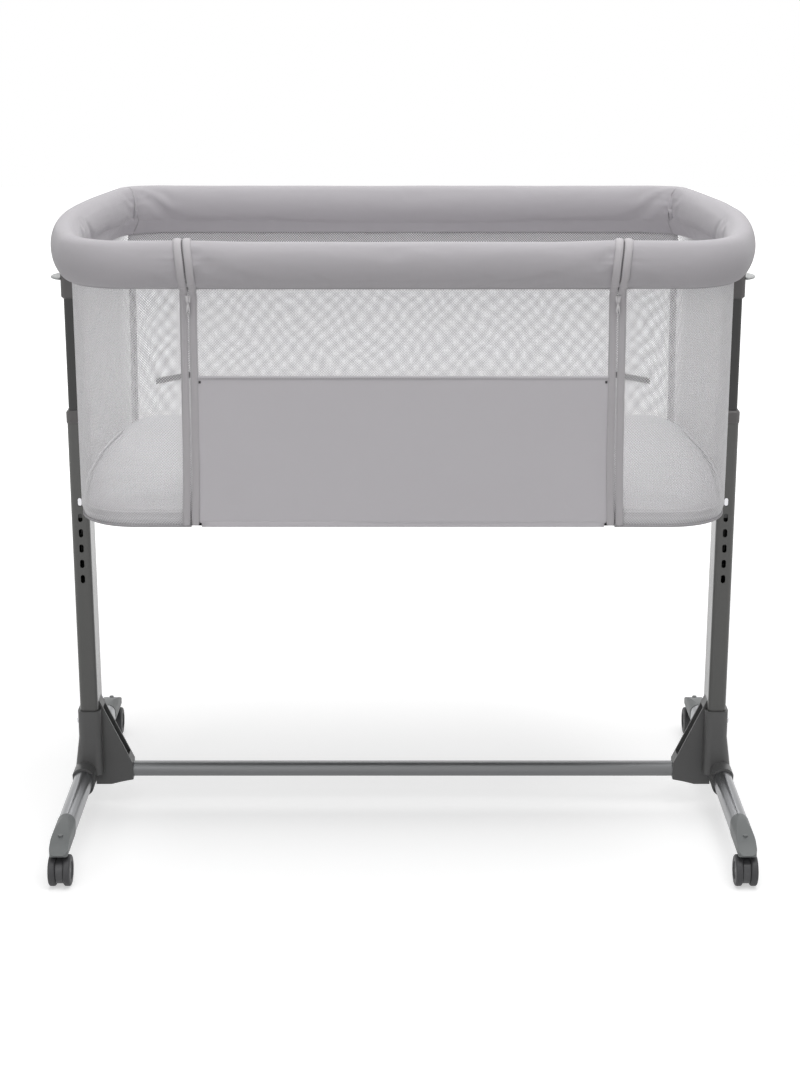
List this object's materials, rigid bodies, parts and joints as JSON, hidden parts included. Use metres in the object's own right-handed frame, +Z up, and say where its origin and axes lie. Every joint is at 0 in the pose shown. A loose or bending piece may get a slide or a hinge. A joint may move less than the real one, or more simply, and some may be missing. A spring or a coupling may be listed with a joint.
{
  "type": "bedside sleeper crib",
  "caption": "Bedside sleeper crib: padded oval rim and mesh basket on telescopic posts, with a zipped drop side, cross bar, feet and twin-wheel casters.",
  "frame": {"origin": "on the floor under the middle of the crib", "axes": "+Z up, +X along the crib, -Y towards the adult bed, where the drop side is"},
  "size_m": [0.9496, 0.582, 0.859],
  "materials": {
    "rim_fabric": "knitted padded cover, matt",
    "panel_fabric": "plain woven, matt",
    "mesh_fabric": "open warp-knit mesh",
    "tape_fabric": "folded woven tape, matt",
    "dark_webbing": "dark woven, matt",
    "mattress_cover": "smooth woven, matt",
    "board": "raw hardboard",
    "rim_steel": "satin",
    "post_metal": "satin metallic grey",
    "moulded_plastic": "fine grain",
    "bar_metal": "satin metallic grey",
    "foot_metal": "polished",
    "cap_plastic": "fine grain",
    "tab_plastic": "fine grain",
    "bright_steel": "zinc plated",
    "caster_plastic": "fine grain",
    "wheel_plastic": "smooth"
  },
  "bodies": {
    "base": {"cross_bar": "bar_metal", "base_bracket_left": "moulded_plastic", "base_bracket_right": "moulded_plastic", "foot_tube_left": "foot_metal", "foot_tube_right": "foot_metal", "foot_caps_left": "cap_plastic", "foot_caps_right": "cap_plastic", "lower_post_left": "post_metal", "lower_post_right": "post_metal", "post_collar_left": "moulded_plastic", "post_collar_right": "moulded_plastic", "frame_screws": "bright_steel"},
    "cradle": {"rim_frame": "rim_steel", "rim_pad_rear": "rim_fabric", "rim_pad_left": "rim_fabric", "rim_pad_right": "rim_fabric", "end_wall_left": "mesh_fabric", "end_wall_right": "mesh_fabric", "rear_wall": "mesh_fabric", "seam_tapes": "tape_fabric", "rear_straps": "dark_webbing", "bottom_frame": "rim_steel", "floor_cover": "dark_webbing", "base_board": "board", "mattress": "mattress_cover", "upper_post_left": "post_metal", "upper_post_right": "post_metal", "top_bracket_left": "moulded_plastic", "top_bracket_right": "moulded_plastic", "lock_spring_left": "bright_steel", "lock_spring_right": "bright_steel"},
    "drop_side": {"front_rail": "rim_steel", "front_rim_pad": "rim_fabric", "window_mesh": "mesh_fabric", "front_panel": "panel_fabric", "zip_tapes": "tape_fabric"},
    "zip_slider_left": {"zip_slider_left": "bright_steel"},
    "release_left": {"release_tab_left": "tab_plastic", "pull_rod_left": "bright_steel"},
    "lock_pin_left": {"lock_pin_left": "bright_steel"},
    "zip_slider_right": {"zip_slider_right": "bright_steel"},
    "release_right": {"release_tab_right": "tab_plastic", "pull_rod_right": "bright_steel"},
    "lock_pin_right": {"lock_pin_right": "bright_steel"},
    "caster_front_left": {"caster_housing_front_left": "caster_plastic", "caster_pins_front_left": "bright_steel"},
    "wheel_outer_front_left": {"caster_wheel_outer_front_left": "wheel_plastic"},
    "wheel_inner_front_left": {"caster_wheel_inner_front_left": "wheel_plastic"},
    "caster_rear_left": {"caster_housing_rear_left": "caster_plastic", "caster_pins_rear_left": "bright_steel"},
    "wheel_outer_rear_left": {"caster_wheel_outer_rear_left": "wheel_plastic"},
    "wheel_inner_rear_left": {"caster_wheel_inner_rear_left": "wheel_plastic"},
    "caster_front_right": {"caster_housing_front_right": "caster_plastic", "caster_pins_front_right": "bright_steel"},
    "wheel_outer_front_right": {"caster_wheel_outer_front_right": "wheel_plastic"},
    "wheel_inner_front_right": {"caster_wheel_inner_front_right": "wheel_plastic"},
    "caster_rear_right": {"caster_housing_rear_right": "caster_plastic", "caster_pins_rear_right": "bright_steel"},
    "wheel_outer_rear_right": {"caster_wheel_outer_rear_right": "wheel_plastic"},
    "wheel_inner_rear_right": {"caster_wheel_inner_rear_right": "wheel_plastic"}
  },
  "joints": [
    {"name": "cradle_height", "type": "slide", "parent": "base", "child": "cradle", "axis": [0, 0, 1], "range_m": [-0.111, 0]},
    {"name": "drop_side_hinge", "type": "hinge", "parent": "cradle", "child": "drop_side", "pos_m": [0, -0.25, 0.49], "axis": [1, 0, 0], "range_deg": [0, 176]},
    {"name": "zip_slide_left", "type": "slide", "parent": "drop_side", "child": "zip_slider_left", "axis": [0, -0.0546, 0.9985], "range_m": [-0.262, 0]},
    {"name": "release_lift_left", "type": "slide", "parent": "cradle", "child": "release_left", "axis": [0, 0, 1], "range_m": [0, 0.008], "stiffness_N_per_m": 300, "springref_m": -0.01, "deforming": ["lock_spring_left"]},
    {"name": "lock_pin_slide_left", "type": "slide", "parent": "cradle", "child": "lock_pin_left", "axis": [0, 1, 0], "range_m": [0, 0.005]},
    {"name": "zip_slide_right", "type": "slide", "parent": "drop_side", "child": "zip_slider_right", "axis": [0, -0.0546, 0.9985], "range_m": [-0.262, 0]},
    {"name": "release_lift_right", "type": "slide", "parent": "cradle", "child": "release_right", "axis": [0, 0, 1], "range_m": [0, 0.008], "stiffness_N_per_m": 300, "springref_m": -0.01, "deforming": ["lock_spring_right"]},
    {"name": "lock_pin_slide_right", "type": "slide", "parent": "cradle", "child": "lock_pin_right", "axis": [0, 1, 0], "range_m": [0, 0.005]},
    {"name": "caster_swivel_front_left", "type": "hinge", "parent": "base", "child": "caster_front_left", "pos_m": [-0.454, -0.258, 0.04], "axis": [0, 0, 1], "continuous": true},
    {"name": "wheel_spin_outer_front_left", "type": "hinge", "parent": "caster_front_left", "child": "wheel_outer_front_left", "pos_m": [-0.4639, -0.27, 0.021], "axis": [1, 0, 0], "continuous": true},
    {"name": "wheel_spin_inner_front_left", "type": "hinge", "parent": "caster_front_left", "child": "wheel_inner_front_left", "pos_m": [-0.4441, -0.27, 0.021], "axis": [1, 0, 0], "continuous": true},
    {"name": "caster_swivel_rear_left", "type": "hinge", "parent": "base", "child": "caster_rear_left", "pos_m": [-0.454, 0.258, 0.04], "axis": [0, 0, 1], "continuous": true},
    {"name": "wheel_spin_outer_rear_left", "type": "hinge", "parent": "caster_rear_left", "child": "wheel_outer_rear_left", "pos_m": [-0.4639, 0.27, 0.021], "axis": [1, 0, 0], "continuous": true},
    {"name": "wheel_spin_inner_rear_left", "type": "hinge", "parent": "caster_rear_left", "child": "wheel_inner_rear_left", "pos_m": [-0.4441, 0.27, 0.021], "axis": [1, 0, 0], "continuous": true},
    {"name": "caster_swivel_front_right", "type": "hinge", "parent": "base", "child": "caster_front_right", "pos_m": [0.454, -0.258, 0.04], "axis": [0, 0, 1], "continuous": true},
    {"name": "wheel_spin_outer_front_right", "type": "hinge", "parent": "caster_front_right", "child": "wheel_outer_front_right", "pos_m": [0.4639, -0.27, 0.021], "axis": [1, 0, 0], "continuous": true},
    {"name": "wheel_spin_inner_front_right", "type": "hinge", "parent": "caster_front_right", "child": "wheel_inner_front_right", "pos_m": [0.4441, -0.27, 0.021], "axis": [1, 0, 0], "continuous": true},
    {"name": "caster_swivel_rear_right", "type": "hinge", "parent": "base", "child": "caster_rear_right", "pos_m": [0.454, 0.258, 0.04], "axis": [0, 0, 1], "continuous": true},
    {"name": "wheel_spin_outer_rear_right", "type": "hinge", "parent": "caster_rear_right", "child": "wheel_outer_rear_right", "pos_m": [0.4639, 0.27, 0.021], "axis": [1, 0, 0], "continuous": true},
    {"name": "wheel_spin_inner_rear_right", "type": "hinge", "parent": "caster_rear_right", "child": "wheel_inner_rear_right", "pos_m": [0.4441, 0.27, 0.021], "axis": [1, 0, 0], "continuous": true}
  ],
  "couplings": [
    {"joint": "lock_pin_slide_left", "follows": "release_lift_left", "ratio": 0.6},
    {"joint": "lock_pin_slide_right", "follows": "release_lift_right", "ratio": 0.6}
  ]
}
